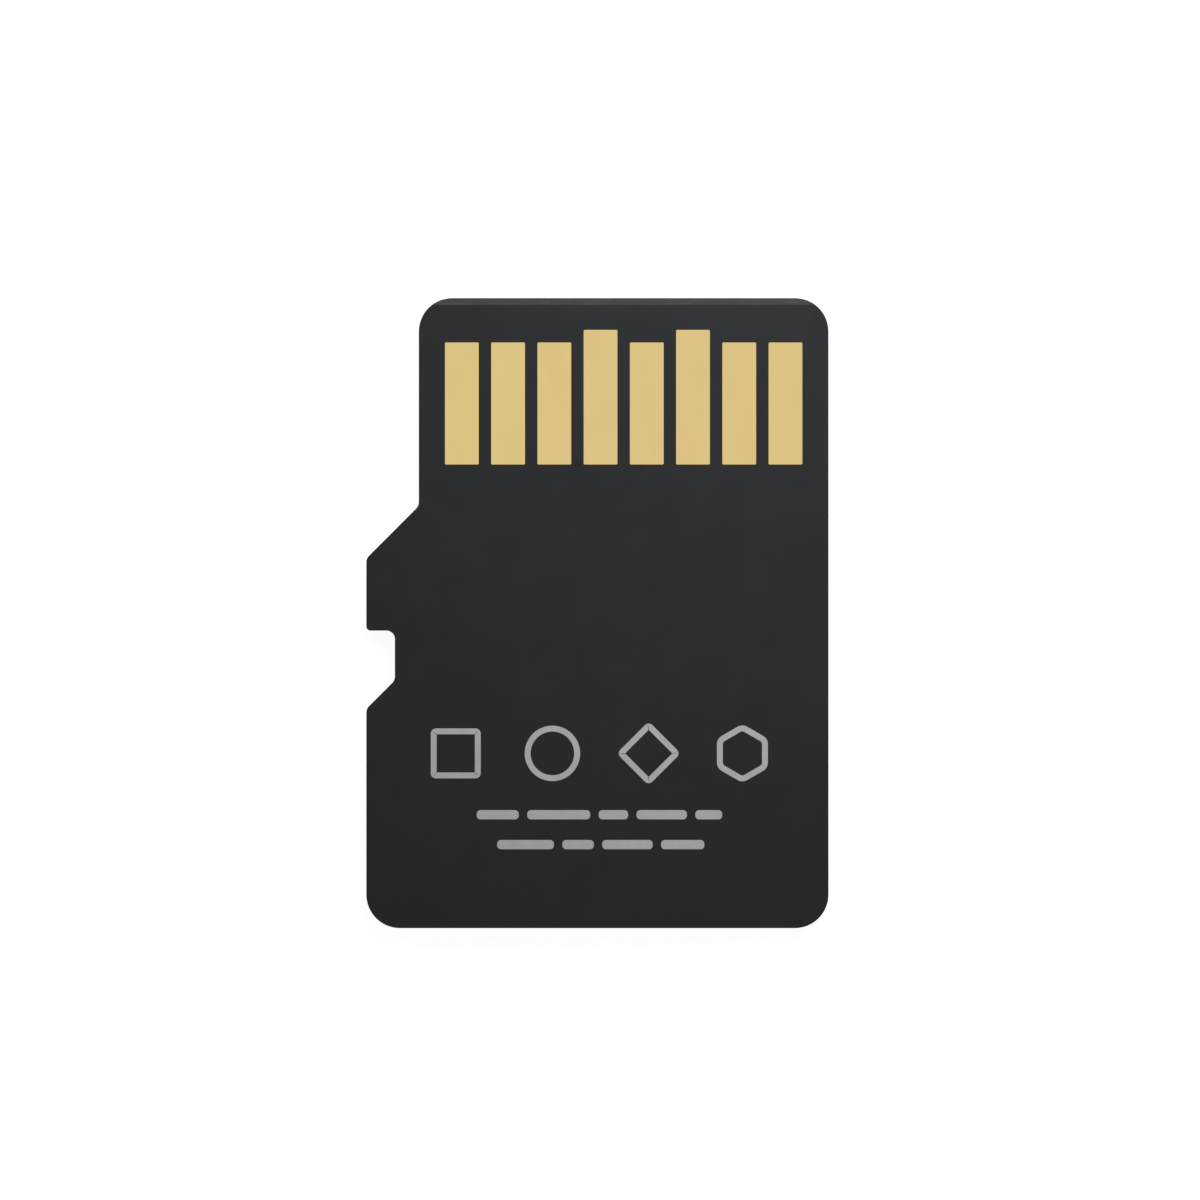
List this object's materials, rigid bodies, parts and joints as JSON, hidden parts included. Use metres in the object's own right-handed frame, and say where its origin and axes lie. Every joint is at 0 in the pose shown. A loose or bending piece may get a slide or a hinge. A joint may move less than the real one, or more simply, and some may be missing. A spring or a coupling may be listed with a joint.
{
  "type": "memory card",
  "caption": "Thin black removable memory card with a stepped and notched edge, gold contacts along the nose and a raised finger lip at the rear.",
  "frame": {"origin": "under the middle of the card, level with the crest of the finger lip", "axes": "+Z out of the contact face, +Y towards the nose, +X away from the notched side"},
  "size_m": [0.011, 0.015, 0.001],
  "materials": {
    "board_resist": "black solder resist, satin",
    "mould_plastic": "black moulded epoxy, fine matt",
    "contact_gold": "gold plating, satin",
    "silicon": "thinned silicon, smooth",
    "attach_film": "adhesive film",
    "capacitor_body": "ceramic with tinned ends",
    "wire_gold": "drawn gold wire"
  },
  "bodies": {
    "root": {"board": "board_resist", "mould_body": "mould_plastic", "contact_1": "contact_gold", "contact_2": "contact_gold", "contact_3": "contact_gold", "contact_4": "contact_gold", "contact_5": "contact_gold", "contact_6": "contact_gold", "contact_7": "contact_gold", "contact_8": "contact_gold", "controller_die": "silicon", "controller_film": "attach_film", "flash_die_lower": "silicon", "flash_die_upper": "silicon", "flash_film_lower": "attach_film", "flash_film_upper": "attach_film", "capacitor_1": "capacitor_body", "capacitor_2": "capacitor_body", "capacitor_3": "capacitor_body", "capacitor_4": "capacitor_body", "controller_wires_left": "wire_gold", "controller_wires_right": "wire_gold", "flash_wires_lower": "wire_gold", "flash_wires_upper": "wire_gold"}
  },
  "joints": []
}
